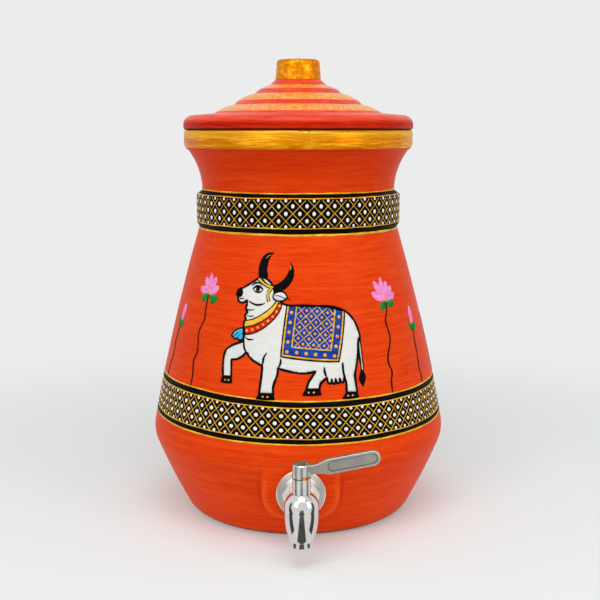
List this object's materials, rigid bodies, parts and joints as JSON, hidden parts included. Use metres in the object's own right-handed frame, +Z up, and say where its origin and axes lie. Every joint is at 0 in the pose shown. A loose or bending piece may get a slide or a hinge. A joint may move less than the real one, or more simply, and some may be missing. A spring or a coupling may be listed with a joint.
{
  "type": "clay water pot with tap",
  "caption": "Tapered clay water pot with a stepped, knobbed lid and a lever tap near its foot; painted patterned bands and a folk cow with lotuses.",
  "frame": {"origin": "centre of the pot's base on the floor", "axes": "+Z up along the pot's axis; -Y out of the front, where the tap is; +X to the right of someone facing the tap, where the shut lever points"},
  "size_m": [0.263, 0.3073, 0.3997],
  "materials": {
    "painted_clay": "satin",
    "painted_lid": "satin",
    "polished_steel": "polished",
    "satin_steel": "satin",
    "seal_rubber": "matte",
    "brass": "satin"
  },
  "bodies": {
    "pot": {"pot_body": "painted_clay", "tap_body": "polished_steel", "bonnet": "polished_steel", "stop_pin": "brass", "outer_seal": "seal_rubber", "inner_seal": "seal_rubber", "steel_washer": "satin_steel", "lock_nut": "satin_steel", "seat_seal": "seal_rubber"},
    "lid": {"lid": "painted_lid"},
    "lever": {"lever": "satin_steel", "lever_screw": "satin_steel", "valve_plug": "brass", "lower_o_ring": "seal_rubber", "upper_o_ring": "seal_rubber"}
  },
  "joints": [
    {"name": "lid_lift", "type": "slide", "parent": "pot", "child": "lid", "axis": [0, 0, 1], "range_m": [0, 0.08]},
    {"name": "lever_turn", "type": "hinge", "parent": "pot", "child": "lever", "pos_m": [0, -0.162, 0.0734], "axis": [0, 0, 1], "range_deg": [-90, 0]}
  ]
}
